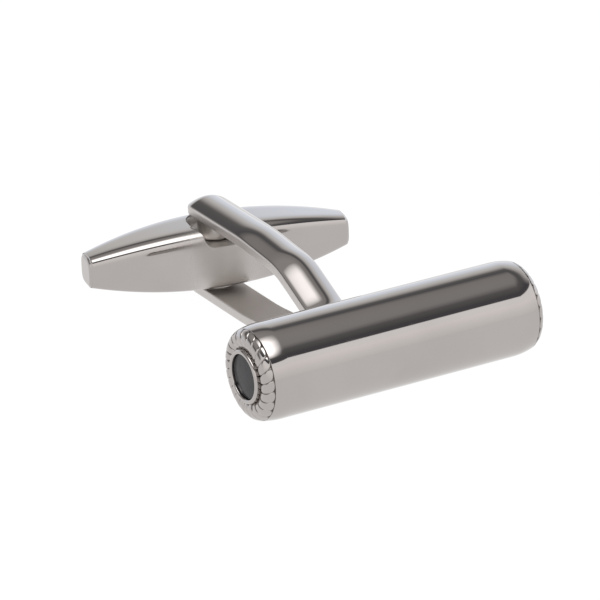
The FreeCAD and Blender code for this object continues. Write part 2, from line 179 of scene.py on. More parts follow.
class FinishSettings(bpy.types.PropertyGroup):
    """Colours and gloss of the plating and the inlays."""
    plating: colour("Plating", "Colour of the polished plating", (0.435, 0.407, 0.393))
    plating_worn: colour("Handled plating", "Plating where fingers dull it", (0.415, 0.388, 0.375))
    # Lighter than the polished plating: a satin finish on the arms' inner faces, and painted light
    # on the toggle's front round the pivot.
    brushed_and_lightened: colour("Brushed", "Plating on the arms' inner faces", (0.62, 0.59, 0.565))
    # Painted shade: the dark colour that the depth mark lays in the crevices, at the ring's foot and
    # over the lobes' outer ends.
    crevice_shade: colour("Crevices", "Colour deep between the lobes", (0.10, 0.085, 0.075))
    stone: colour("Inlay", "Colour of the dark inlay", (0.012, 0.012, 0.014))
    steel: colour("Steel", "Colour of the pin, ball and spring", (0.42, 0.41, 0.40))
    gloss: number("Gloss", "Roughness of polished plating", 0.035, subtype="FACTOR")
    satin: number("Satin", "Roughness of the arms' inner faces", 0.38, subtype="FACTOR")


class StageSettings(bpy.types.PropertyGroup):
    """Floor, light and camera."""
    aim: FloatVectorProperty(name="Aim", description="Point the camera looks at", size=3,
                             default=(-3.972 * MM, -6.554 * MM, 6.434 * MM), precision=6,
                             subtype="TRANSLATION", unit="LENGTH")
    azimuth: rotation("Azimuth", "Camera's turn about Z", -28.95)
    elevation: rotation("Elevation", "Camera above the horizon", 22.56)
    roll: rotation("Roll", "Camera's roll", -2.37)
    distance: length("Distance", "Camera to the aim", 295.6)
    lens: number("Lens", "Focal length", 291.6, unit="CAMERA")
    far_slope: number("Far wall's slope", "How much lower the far wall stands toward -X", 0.28)
    box: number("Soft box", "Brightness of the soft box", 3.6)
    box_right: number("Soft box, right", "Where the box ends toward +X, as x over z", 0.45)
    box_far: number("Soft box, far", "Where the box ends toward +Y, as y over z", 0.36)


# Mesh building
def surface(name, grid, round_rows=False, round_columns=False, marks=None):
    """Mesh whose faces join neighbours of a grid of points, rows by columns by
    three. A round direction also joins its last line to its first. Points that
    coincide become one, which closes poles, and faces are turned outward."""
    rows, columns = grid.shape[:2]
    numbers = np.arange(rows * columns).reshape(rows, columns)
    if round_rows:
        numbers = np.concatenate([numbers, numbers[:1]], axis=0)
    if round_columns:
        numbers = np.concatenate([numbers, numbers[:, :1]], axis=1)
    faces = np.stack([numbers[:-1, :-1], numbers[1:, :-1], numbers[1:, 1:], numbers[:-1, 1:]],
                     axis=-1).reshape(-1, 4)
    mesh = bpy.data.meshes.new(name)
    mesh.vertices.add(rows * columns)
    mesh.vertices.foreach_set("co", (grid * MM).astype(np.float32).ravel())
    mesh.loops.add(faces.size)
    mesh.loops.foreach_set("vertex_index", faces.astype(np.int32).ravel())
    mesh.polygons.add(len(faces))
    mesh.polygons.foreach_set("loop_start", np.arange(0, faces.size, 4, dtype=np.int32))
    for mark, values in (marks or {}).items():
        layer = mesh.attributes.new(mark, "FLOAT", "POINT")
        layer.data.foreach_set("value", values.astype(np.float32).ravel())
    mesh.update(calc_edges=True)
    tidy = bmesh.new()
    tidy.from_mesh(mesh)
    bmesh.ops.remove_doubles(tidy, verts=tidy.verts, dist=1e-7)
    bmesh.ops.dissolve_degenerate(tidy, edges=tidy.edges, dist=1e-8)
    bmesh.ops.recalc_face_normals(tidy, faces=tidy.faces)
    if tidy.calc_volume(signed=True) < 0:
        bmesh.ops.reverse_faces(tidy, faces=tidy.faces)
    tidy.to_mesh(mesh)
    tidy.free()
    mesh.validate()
    mesh.shade_smooth()
    thing = bpy.data.objects.new(name, mesh)
    bpy.context.scene.collection.objects.link(thing)
    return thing


def rounded(points, radii, steps=7):
    """Closed outline through points with each corner replaced by an arc: the
    arc's centre lies on the corner's bisector, its radius from the sides."""
    points = np.array(points, float)
    pieces = []
    for place, radius in enumerate(radii):
        here = points[place]
        inward = points[place - 1] - here
        onward = points[(place + 1) % len(points)] - here
        inward = inward / np.linalg.norm(inward)
        onward = onward / np.linalg.norm(onward)
        if radius == 0:
            pieces.append(here[None])
            continue
        half = math.acos(float(np.clip(inward @ onward, -1, 1))) / 2
        centre = here + (inward + onward) / np.linalg.norm(inward + onward) * radius / math.sin(half)
        first = here + inward * radius / math.tan(half) - centre
        last = here + onward * radius / math.tan(half) - centre
        share = np.linspace(0, 1, steps)[:, None]
        ray = first * (1 - share) + last * share
        pieces.append(centre + ray / np.linalg.norm(ray, axis=1, keepdims=True) * radius)
    return np.concatenate(pieces)


def lathe(name, profile, hand, around=384):
    """Profile of (axial, radial) points turned about the bar's axis: at angle a
    a point stands at (hand * axial, radial * cos a, radial * sin a)."""
    angle = np.linspace(0, 2 * np.pi, around, endpoint=False)[:, None]
    axial = np.broadcast_to(profile[None, :, 0], (around, len(profile)))
    radial = profile[None, :, 1]
    grid = np.stack([hand * axial, BAR_CENTRE[1] + radial * np.cos(angle),
                     BAR_CENTRE[2] + radial * np.sin(angle)], axis=-1)
    return surface(name, grid, round_rows=True, round_columns=True)


def place(piece, body, slot, material, *replaced):
    """Dress a piece, ride it on its body and let it stand for CAD nodes."""
    piece.data.materials.append(bpy.data.materials[MATERIAL_NAMES[material]])
    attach(piece, body)
    if replaced:
        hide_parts(*replaced)
    return piece


def own_settings(group):
    """Descriptions of the properties that a group of settings declares itself."""
    return [kind for kind in group.bl_rna.properties if kind.identifier not in ("rna_type", "name")]


def settings(name):
    """Values of one group of settings, its lengths in millimetres."""
    group = getattr(bpy.context.scene.cufflink, name)
    values = {}
    for kind in own_settings(group):
        value = getattr(group, kind.identifier)
        if kind.is_array:
            value = np.array(value, float)
        if kind.unit == "LENGTH":
            value = value / MM
        values[kind.identifier] = value
    return SimpleNamespace(**values)


def tube_profile(bar):
    """Half of the tube's outer line: straight, then falling with the square of
    the distance into the roll-off, then a small lip that turns in on an arc
    of an ellipse and runs straight toward the axis."""
    lip_length, lip_depth, lip_wall = 0.03, 0.05, 0.12
    lip = bar.half + bar.lip
    axial = np.concatenate([np.linspace(0, lip - bar.rolloff, 12)[:-1],
                            np.linspace(lip - bar.rolloff, lip, 50)])
    along = np.clip((axial - lip) / bar.rolloff + 1, 0, None)
    radial = bar.radius - bar.drop * along ** 2
    turn = np.linspace(0.3, np.pi / 2, 6)
    axial = np.concatenate([axial, lip + lip_length * np.sin(turn)])
    radial = np.concatenate([radial, radial[-1] - lip_depth + lip_depth * np.cos(turn)])
    return np.append(axial, axial[-1]), np.append(radial, radial[-1] - lip_wall)


# Shader building
class Wire:
    """Socket in a node tree; arithmetic on it adds Math nodes."""

    def __init__(self, tree, socket):
        self.tree = tree
        self.socket = socket

    def __add__(self, other):
        return self.tree.math("ADD", self, other)

    __radd__ = __add__

    def __sub__(self, other):
        return self.tree.math("SUBTRACT", self, other)

    def __rsub__(self, other):
        return self.tree.math("SUBTRACT", other, self)

    def __mul__(self, other):
        return self.tree.math("MULTIPLY", self, other)

    __rmul__ = __mul__

    def __truediv__(self, other):
        return self.tree.math("DIVIDE", self, other)

    def __rtruediv__(self, other):
        return self.tree.math("DIVIDE", other, self)

    def __pow__(self, other):
        return self.tree.math("POWER", self, other)

    def __rpow__(self, other):
        return self.tree.math("POWER", other, self)


class Tree:
    """Node tree of a material or a world, filled by node()."""

    def __init__(self, tree):
        self.tree = tree
        tree.nodes.clear()

    def node(self, kind, options=None, inputs=None, output=0):
        """Node of a kind, its options set first, then its inputs by name or place."""
        made = self.tree.nodes.new(kind)
        for name, option in (options or {}).items():
            if name == "stops":
                ramp = made.color_ramp
                while len(ramp.elements) < len(option):
                    ramp.elements.new(0.5)
                for element, (position, shade) in zip(ramp.elements, option):
                    element.position = position
                    element.color = (*shade, 1.0)
            else:
                setattr(made, name, option)
        for name, value in (inputs or {}).items():
            socket = made.inputs[name]
            if isinstance(value, Wire):
                self.tree.links.new(value.socket, socket)
            else:
                socket.default_value = value
        return Wire(self, made.outputs[output]) if len(made.outputs) else None

    def math(self, operation, first, second=0.0):
        """Result of one Math node."""
        return self.node("ShaderNodeMath", {"operation": operation}, {0: first, 1: second})

    def noise(self, where, scale, detail=3.0, rough=0.5):
        """Noise from 0 to 1, its scale in cycles to the metre."""
        return self.node("ShaderNodeTexNoise", {},
                         {"Vector": where, "Scale": scale, "Detail": detail, "Roughness": rough},
                         "Fac")

    def ramp(self, value, stops):
        """Colour that a value picks from stops."""
        return self.node("ShaderNodeValToRGB", {"stops": stops}, {"Fac": value}, "Color")

    def blend(self, share, first, second):
        """Colour that goes from first to second."""
        return self.node("ShaderNodeMix", {"data_type": "RGBA"},
                         {"Factor": share, 6: first, 7: second}, 2)

    def span(self, value, low, high, to_low=0.0, to_high=1.0):
        """Value carried from one range to another, held at its ends."""
        return self.node("ShaderNodeMapRange", {"clamp": True},
                         {"Value": value, "From Min": low, "From Max": high,
                          "To Min": to_low, "To Max": to_high})

    def stretched(self, where, scale):
        """Coordinates multiplied by a scale along each axis."""
        return self.node("ShaderNodeMapping", {}, {"Vector": where, "Scale": scale})

    def bump(self, height, distance, strength=1.0, normal=None):
        """Normal tilted by a height, whose full rise is distance in metres."""
        inputs = {"Height": height, "Distance": distance, "Strength": strength}
        if normal is not None:
            inputs["Normal"] = normal
        return self.node("ShaderNodeBump", {}, inputs)


def rgba(values):
    """Opaque colour of three values."""
    return (*values, 1.0)


def new_material(key):
    """Empty material, its tree, and its Object coordinates."""
    material = bpy.data.materials.new(MATERIAL_NAMES[key])
    material.use_nodes = True
    tree = Tree(material.node_tree)
    return tree, tree.node("ShaderNodeTexCoord", {}, {}, "Object")


def finish_material(tree, inputs):
    """Close a material with a Principled shader and its output."""
    shader = tree.node("ShaderNodeBsdfPrincipled", {}, inputs)
    tree.node("ShaderNodeOutputMaterial", {}, {"Surface": shader})


def plating(key, finish, crevices=False, satin=False):
    """Mirror plating: a slow drift of tint, faint wipe marks and hairlines in
    the gloss, and the slight orange peel that buffing leaves. The attribute
    depth paints shade into the crevices. The attribute inner turns a surface
    satin and lighter; on the toggle's front that lighter colour is painted light."""
    tree, where = new_material(key)
    drift = tree.noise(where, 260.0, 2.0)
    smear = tree.noise(tree.stretched(where, (900.0, 260.0, 260.0)), 1.0, 4.0, 0.6)
    hair = tree.noise(tree.stretched(where, (9000.0, 120000.0, 120000.0)), 1.0, 2.0, 0.7)
    tint = tree.blend(tree.span(drift, 0.35, 0.7), rgba(finish.plating), rgba(finish.plating_worn))
    smear_rough, hair_rough, crevice_rough = 0.05, 0.06, 0.25
    rough = finish.gloss + tree.span(smear, 0.5, 0.75, 0.0, smear_rough)
    rough = rough + tree.span(hair, 0.62, 0.8, 0.0, hair_rough)
    if crevices:
        # Painted shade: the depth mark darkens the ring toward the crevice shade colour.
        depth = tree.node("ShaderNodeAttribute", {"attribute_name": "depth"}, {}, "Fac")
        dark = tree.span(depth, 0.45, 0.95)
        tint = tree.blend(dark, tint, rgba(finish.crevice_shade))
        rough = rough + dark * crevice_rough
    peel = tree.noise(where, 480.0, 1.0, 0.3)
    peel_height, grain_height = 0.0000012, 0.000002
    normal = tree.bump(peel, peel_height)
    if satin:
        inner = tree.node("ShaderNodeAttribute", {"attribute_name": "inner"}, {}, "Fac")
        grain = tree.noise(tree.stretched(where, (60000.0, 2500.0, 2500.0)), 1.0, 3.0, 0.6)
        uneven = 0.08
        satin_rough = tree.span(grain, 0.2, 0.8, finish.satin - uneven, finish.satin + uneven)
        rough = rough + inner ** 0.35 * satin_rough
        # Where the inner mark covers the toggle's front, this lighter colour is painted light over
        # the arms' dark reflection.
        tint = tree.blend(inner, tint, rgba(finish.brushed_and_lightened))
        normal = tree.bump(grain * inner, grain_height, 1.0, normal)
    finish_material(tree, {"Base Color": tint, "Metallic": 1.0, "Roughness": rough,
                           "Normal": normal})


def stone_material(finish):
    """Dark inlay: near-black, polished, with a cloudy depth and fine dust."""
    cloud_lift, cloud_height = 2.2, 0.000002
    tree, where = new_material("stone")
    cloud = tree.noise(where, 1500.0, 4.0, 0.6)
    body = tree.blend(tree.span(cloud, 0.3, 0.75), rgba(finish.stone),
                      rgba(finish.stone * cloud_lift))
    dust = tree.noise(where, 42000.0, 2.0)
    rough = 0.2 + tree.span(dust, 0.6, 0.75, 0.0, 0.2)
    finish_material(tree, {"Base Color": body, "Roughness": rough, "Specular IOR Level": 0.22,
                           "Normal": tree.bump(cloud, cloud_height)})


def steel_material(finish):
    """Turned steel of the pin, ball, spring and plug, with fine rings."""
    ring_shade, ring_height = 0.82, 0.0000015
    tree, where = new_material("steel")
    ring = tree.noise(tree.stretched(where, (3000.0, 3000.0, 60000.0)), 1.0, 3.0, 0.6)
    tint = tree.blend(tree.span(ring, 0.3, 0.7), rgba(finish.steel),
                      rgba(finish.steel * ring_shade))
    rough = tree.span(ring, 0.25, 0.75, 0.18, 0.34)
    finish_material(tree, {"Base Color": tint, "Metallic": 1.0, "Roughness": rough,
                           "Normal": tree.bump(ring, ring_height)})


def floor_material():
    """Pale glowing table: nearly even light with a faint mottle."""
    brightness, matt_share = 1.04, 0.05
    tree, where = new_material("floor")
    mottle = tree.noise(where, 6.0, 2.0)
    pale = tree.blend(tree.span(mottle, 0.3, 0.7), (0.985, 0.985, 0.99, 1.0), (1.0, 1.0, 1.0, 1.0))
    glow = tree.node("ShaderNodeEmission", {}, {"Color": pale, "Strength": brightness})
    matt = tree.node("ShaderNodeBsdfDiffuse", {}, {"Color": pale})
    both = tree.node("ShaderNodeMixShader", {}, {0: matt_share, 1: glow, 2: matt})
    tree.node("ShaderNodeOutputMaterial", {}, {"Surface": both})


# Each stop of a wall is a sine of the height above the horizon, and the light there.
FRONT_WALL = ((0.0, (1.08, 1.07, 1.06)), (0.21, (1.20, 1.19, 1.175)), (0.41, (1.33, 1.31, 1.30)),
              (0.50, (1.31, 1.31, 1.31)), (0.605, (1.29, 1.30, 1.30)), (0.622, (0.11, 0.11, 0.12)),
              (0.70, (0.11, 0.11, 0.12)), (0.743, (0.14, 0.14, 0.14)), (0.81, (0.18, 0.18, 0.18)),
              (0.866, (0.40, 0.40, 0.40)), (1.0, (0.50, 0.49, 0.48)))
FAR_WALL = ((0.0, (1.32, 1.38, 1.46)), (0.06, (1.20, 1.27, 1.38)), (0.21, (1.16, 1.24, 1.37)),
            (0.31, (1.12, 1.20, 1.32)), (0.41, (1.00, 1.04, 1.08)), (0.50, (0.93, 0.935, 0.92)),
            (0.588, (0.68, 0.67, 0.66)), (0.669, (0.21, 0.21, 0.21)), (0.743, (0.15, 0.15, 0.16)),
            (0.81, (0.38, 0.37, 0.36)), (1.0, (0.50, 0.49, 0.48)))


def studio_light(tree, stage):
    """Pale walls that end under a dark ceiling, and a soft box overhead. The
    walls follow the sine of the height; the box is a rectangle on a level
    plane, so its edges are straight in x / z and y / z. Every colour is given
    as a share of the strength top."""
    top = 3.0
    left_edge, left_fade, right_fade, far_fade = -0.55, 0.15, 0.33, 0.4
    front_dim, front_full = 0.76, 0.90
    slope_start, wall_blend, lowest = 0.45, 0.15, 0.05
    where = tree.node("ShaderNodeTexCoord", {}, {}, "Generated")
    x, y, z = (tree.node("ShaderNodeSeparateXYZ", {}, {0: where}, axis) for axis in range(3))
    heights = (z, z + (slope_start - x) * stage.far_slope)
    walls = []
    for level, wall in zip(heights, (FRONT_WALL, FAR_WALL)):
        stops = [(sine, [shade / top for shade in shades]) for sine, shades in wall]
        walls.append(tree.ramp(level, stops))
    room = tree.blend(tree.span(y, -wall_blend, wall_blend), walls[0], walls[1])
    height = tree.math("MAXIMUM", z, lowest)
    across = x / height
    along = y / height
    share = tree.span(across, left_edge, left_edge + left_fade)
    share = share * tree.span(across, stage.box_right, stage.box_right - right_fade)
    share = share * tree.span(z, front_dim, front_full)
    share = share * tree.span(along, stage.box_far, stage.box_far - far_fade)
    lit = tree.blend(share, room, rgba([stage.box / top] * 3))
    background = tree.node("ShaderNodeBackground", {}, {"Color": lit, "Strength": top})
    tree.node("ShaderNodeOutputWorld", {}, {"Surface": background})


# Operators
class CUFFLINK_OT_finishes(bpy.types.Operator):
    """Make every material"""
    bl_idname = "cufflink.finishes"
    bl_label = "Finishes"

    def execute(self, context):
        finish = settings("finish")
        plating("plate", finish)
        plating("rope", finish, crevices=True)
        plating("fork", finish, satin=True)
        stone_material(finish)
        steel_material(finish)
        return {"FINISHED"}


class CUFFLINK_OT_bar(bpy.types.Operator):
    """Make the polished bar"""
    bl_idname = "cufflink.bar"
    bl_label = "Bar"

    def execute(self, context):
        """The half line and its mirror image, joined along the bore and turned."""
        bar = settings("bar")
        axial, radial = tube_profile(bar)
        outer = np.stack([axial, radial], axis=1)
        mirrored = outer[1:][::-1] * (-1, 1)
        wall = 0.5
        bore = bar.radius - wall
        ends = np.array([[axial[-1], bore], [-axial[-1], bore]])
        place(lathe("bar_shell", np.concatenate([mirrored, outer, ends]), 1, 512),
              "link", "plated_bar", "plate", "bar_tube")
        return {"FINISHED"}


class CUFFLINK_OT_rings(bpy.types.Operator):
    """Make the gadrooned ring at each end of the bar"""
    bl_idname = "cufflink.rings"
    bl_label = "Gadrooned rings"

    def ring(self, name, hand, bar):
        """Torus section whose surface rises in twisted pillows. With u across a
        lobe from -1 to 1 and s across the ring from 0 to 1, the surface falls
        from the crest line by depth * (0.25 + 1.25 * s * s) * |u| ** p, where
        p = 9 - 6.5 * s ** 1.5, so that the crevices widen inward. Near s = 0
        it falls further with the square of the distance, which rounds off the
        lobes' outer ends. The section is closed behind, inside the bar."""
        first_turn, whole_turn = 4, 147
        rows, per_lobe = 68, 40
        end_length, end_spread, end_depth = 0.12, 0.09, 0.11
        buried, overlap, behind, under = 0.3, 0.1, 0.6, 0.2
        across = np.linspace(0, 1, rows)[None, :]
        turn = np.radians(first_turn + whole_turn * across)
        even = np.linspace(-1, 1, per_lobe, endpoint=False)
        even = np.sign(even) * (1 - (1 - np.abs(even)) ** 1.5)
        lobe = np.arange(bar.lobes)[:, None]
        angle = ((lobe + even[None, :] / 2) * 2 * np.pi / bar.lobes).reshape(-1, 1)
        edge = np.tile(np.abs(even), bar.lobes)[:, None]
        groove = edge ** (9.0 - 6.5 * across ** 1.5)
        depth = bar.lobe_depth * (0.25 + 1.25 * across ** 2)
        outer_end = np.clip(1 - across / (end_length + end_spread * edge ** 2), 0, 1)
        height = -depth * groove - end_depth * outer_end ** 2
        twist = bar.lobe_twist * 2 * np.pi / bar.lobes
        angle = angle - hand * twist * (across - 0.5 - 0.5 * (across - 0.5) ** 2)
        middle = bar.crest - bar.ring
        high = bar.radius - bar.drop - bar.ring
        axial = np.minimum(middle + (bar.ring + height) * np.sin(turn), bar.crest)
        radial = high + (bar.ring + height) * np.cos(turn)
        back = np.array([[bar.half - buried, bar.collar - overlap],
                         [bar.half - buried, bar.radius - behind],
                         [middle, high + bar.ring - under]])
        count = len(angle)
        backs = np.broadcast_to(back[None], (count, 3, 2))
        front = np.stack([axial, radial], axis=-1)
        inner = np.stack([front[:, -1, 0] - overlap, np.full(count, bar.collar - overlap)],
                         axis=-1)
        outline = np.concatenate([front, inner[:, None], backs], axis=1)
        spin = np.concatenate([angle, np.repeat(angle[:, -1:], 2, axis=1),
                               np.repeat(angle[:, :1], 2, axis=1)], axis=1)
        grid = np.stack([hand * outline[..., 0],
                         BAR_CENTRE[1] + outline[..., 1] * np.cos(spin),
                         BAR_CENTRE[2] + outline[..., 1] * np.sin(spin)], axis=-1)
        # Painted shade mark, kept as depth: dark in the crevices, more so inward, at the foot
        # against the collar and over the lobes' outer ends.
        inward = np.clip((across - 0.4) / 0.4, 0, 1)
        foot = np.clip((across - 0.965) / 0.03, 0, 1)
        shade = groove * (0.35 + 0.75 * inward) + foot + 2.0 * outer_end
        marks = np.zeros(grid.shape[:2])
        marks[:, :rows] = np.clip(shade, 0, 1)
        return surface(name, grid, round_rows=True, round_columns=True, marks={"depth": marks})

    def execute(self, context):
        bar = settings("bar")
        for side, hand in (("left", -1), ("right", 1)):
            place(self.ring(side + "_rope_ring", hand, bar), "link", "plated_cap", "rope",
                  side + "_end_cap")
        return {"FINISHED"}


class CUFFLINK_OT_collars(bpy.types.Operator):
    """Make the smooth collar round each inlay"""
    bl_idname = "cufflink.collars"
    bl_label = "Collars"

    def execute(self, context):
        """A rectangle with its two rim corners rounded, turned about the axis."""
        bar = settings("bar")
        depth, outer_round, inner_round = 1.2, 0.14, 0.1
        root = bar.rim - depth
        outline = rounded([(root, bar.stone), (root, bar.collar), (bar.rim, bar.collar),
                           (bar.rim, bar.stone)], [0, 0, outer_round, inner_round], 12)
        for side, hand in (("left", -1), ("right", 1)):
            place(lathe(side + "_collar", outline, hand), "link", "plated_bezel", "plate",
                  side + "_bezel")
        return {"FINISHED"}


class CUFFLINK_OT_stones(bpy.types.Operator):
    """Make the dark inlay in each collar"""
    bl_idname = "cufflink.stones"
    bl_label = "Inlays"

    def execute(self, context):
        """The face falls from its middle with the square of the radius."""
        bar = settings("bar")
        crown, thickness, clearance = 0.05, 0.8, 0.02
        radial = np.linspace(0, bar.stone - clearance, 40)
        axial = bar.stone_face - crown * (radial / bar.stone) ** 2
        back = axial[-1] - thickness
        profile = np.concatenate([np.stack([axial, radial], axis=1),
                                  [(back, radial[-1]), (back, 0.0)]])
        for side, hand in (("left", -1), ("right", 1)):
            place(lathe(side + "_stone", profile, hand, 160), "link", "inlay", "stone",
                  side + "_inlay")
        return {"FINISHED"}


def fork_route(fork):
    """Inner face's line as dense points and normals: straight runs between the
    route's corners, smoothed by two running means over the softness."""
    finish = REACH + fork.overhang + 2 * fork.half_width
    step, second_width = 0.02, 0.6
    along = np.arange(0.0, finish + step, step)
    height = np.interp(along, [0, fork.split, fork.bend, fork.level, finish],
                       [0, 0, fork.bend_height, fork.level_height, fork.level_height])
    for width in (fork.softness, fork.softness * second_width):
        count = int(width / step / 2) * 2 + 1
        padded = np.pad(height, count // 2, mode="edge")
        height = np.convolve(padded, np.ones(count) / count, mode="valid")
    slope = np.gradient(height, along)
    size = np.sqrt(1 + slope ** 2)
    return along, height, -slope / size, 1 / size


class CUFFLINK_OT_fork(bpy.types.Operator):
    """Make the two half-round arms and their bosses"""
    bl_idname = "cufflink.fork"
    bl_label = "Fork"

    def arm(self, name, side, fork):
        """Half section carried up one side of the strip, round its end and back:
        a point at distance d from the spine and height h goes to the spine's
        point plus d sideways plus h along the route's normal. The crown falls
        with the square of d. Over the nose, heights shrink to a fifth on a
        quarter of an ellipse, which domes the arm's round end."""
        flank_share, flank_mark, lowest = 0.98, 0.55, 0.2
        width = fork.half_width
        reach = np.linspace(0, 1, 26) ** 0.8
        crown_line = np.stack([width * reach, fork.side + fork.crown * (1 - reach ** 2)], axis=1)
        corner = crown_line[-1]
        before = crown_line[crown_line[:, 0] < width - fork.shoulder * 0.6]
        edges = rounded([before[-1], corner, (width, 0.0), (0.0, 0.0)],
                        [0, fork.shoulder, fork.edge, 0], 8)
        inner = np.stack([np.linspace(edges[-2, 0], 0, 10)[1:], np.zeros(9)], axis=1)
        section = np.concatenate([before, edges[1:-1], inner])
        turning = REACH + fork.overhang
        up = np.linspace(fork.root, turning, 260)
        bend = np.linspace(0, np.pi, 97)[1:-1]
        spine = np.concatenate([up, np.full(len(bend), turning), up[::-1]])
        facing = np.concatenate([np.zeros(len(up)), bend, np.full(len(up), np.pi)])
        offset, rise = section[None, :, 0], section[None, :, 1]
        local_x = offset * np.cos(facing)[:, None]
        local_y = spine[:, None] + offset * np.sin(facing)[:, None]
        along, height, tilt_y, tilt_z = fork_route(fork)
        nose = np.clip((local_y - turning - fork.half_width) / fork.nose + 1, 0, 1)
        rise = rise * (lowest + (1 - lowest) * np.sqrt(1 - nose ** 2))
        base = np.interp(local_y, along, height)
        lean_y = np.interp(local_y, along, tilt_y)
        lean_z = np.interp(local_y, along, tilt_z)
        grid = np.stack([PIVOT[0] + local_x, BAR_CENTRE[1] + local_y + rise * lean_y,
                         PIVOT[2] + side * (base + rise * lean_z)], axis=-1)
        flank = (np.abs(offset) > width * flank_share) * flank_mark
        inner_mark = np.maximum((rise < fork.edge * 0.3) * 1.0, flank)
        return surface(name, grid, marks={"inner": inner_mark})

    def boss(self, name, side, bottom, fork):
        """Short round boss under an arm's end: a profile turned about the pin,
        whose radius flares into the arm on a quarter of an ellipse."""
        edge, inset, sunk, cover = 0.05, 0.06, 0.1, 0.2
        top = fork.level_height + sunk
        lower = np.linspace(0, 1, 16)
        flare = fork.flare * (1 - np.sqrt(1 - lower ** 2))
        wall = np.stack([bottom + edge + (top - bottom - edge) * lower, fork.boss + flare], axis=1)
        outline = np.concatenate([[(bottom, 0.0), (bottom, fork.boss - inset)], wall,
                                  [(top + cover, wall[-1, 1]), (top + cover, 0.0)]])
        angle = np.linspace(0, 2 * np.pi, 128, endpoint=False)[:, None]
        radial = outline[None, :, 1]
        high = np.broadcast_to(outline[None, :, 0], (len(angle), len(outline)))
        grid = np.stack([PIVOT[0] + radial * np.cos(angle), PIVOT[1] + radial * np.sin(angle),
                         PIVOT[2] + side * high], axis=-1)
        return surface(name, grid, round_rows=True, marks={"inner": np.ones(grid.shape[:2])})

    def execute(self, context):
        fork = settings("fork")
        toggle = settings("toggle")
        bosses = (("upper", 1, toggle.floor + fork.clearance),
                  ("lower", -1, toggle.middle + fork.clearance))
        for where, side, bottom in bosses:
            place(self.arm(where + "_strip", side, fork), "link", "plated_fork", "fork",
                  where + "_arm")
            place(self.boss(where + "_boss", side, bottom, fork), "link", "plated_fork", "fork")
        return {"FINISHED"}


def end_rounding(face, hand, toggle):
    """Outlines that round an end face's edge: for angle a up to a quarter turn,
    the face is scaled by 1 - chamfer * (1 - cos a) / end, and moved along the
    toggle by chamfer * (sin a - 1)."""
    turn = np.linspace(0, np.pi / 2, 6)[1:, None]
    shrink = 1 - toggle.chamfer * (1 - np.cos(turn)) / toggle.end
    shift = hand * toggle.chamfer * (np.sin(turn) - 1)
    return np.stack([face[:, 0] + shift, face[:, 1] * shrink, face[:, 2] * shrink], axis=-1)


